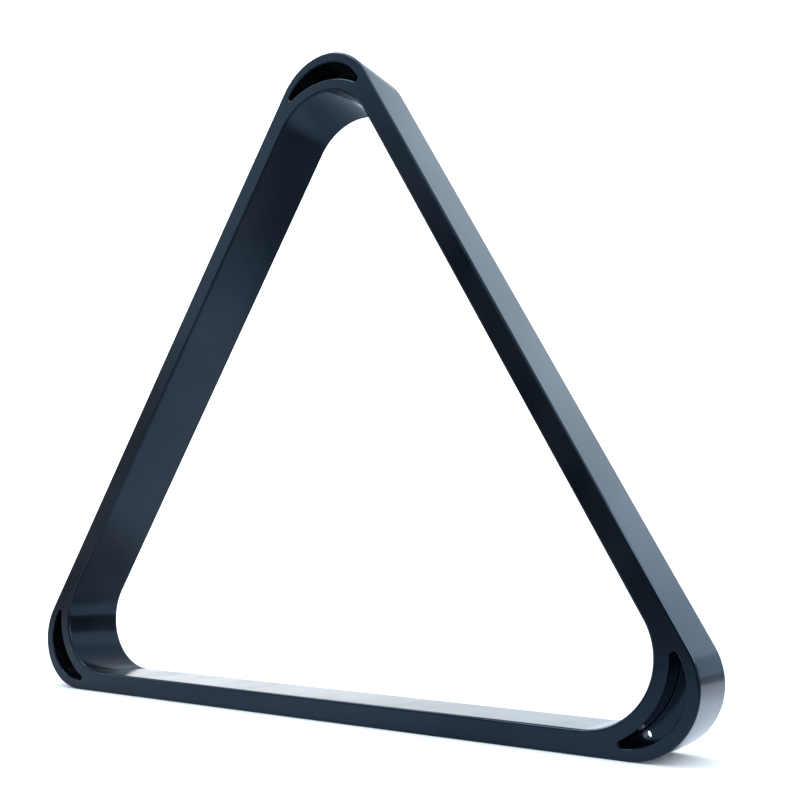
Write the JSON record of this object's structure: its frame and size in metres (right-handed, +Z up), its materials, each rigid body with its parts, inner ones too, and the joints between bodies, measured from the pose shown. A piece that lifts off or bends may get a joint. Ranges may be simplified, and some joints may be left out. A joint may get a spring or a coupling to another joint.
{
  "type": "triangle rack",
  "caption": "Rounded triangular rack for gathering pool balls, with a crescent recess in both faces of each corner.",
  "frame": {"origin": "on the surface the rack stands on, under the middle of its bottom bar, half way between its front and rear faces", "axes": "+X is the width, to the right seen from the front; +Y is the depth, from the front face to the rear face; +Z is up, towards the top corner"},
  "size_m": [0.3262, 0.0312, 0.2895],
  "materials": {
    "moulded_plastic": "satin black moulded ABS"
  },
  "bodies": {
    "root": {"front_half": "moulded_plastic", "rear_half": "moulded_plastic"}
  },
  "joints": []
}
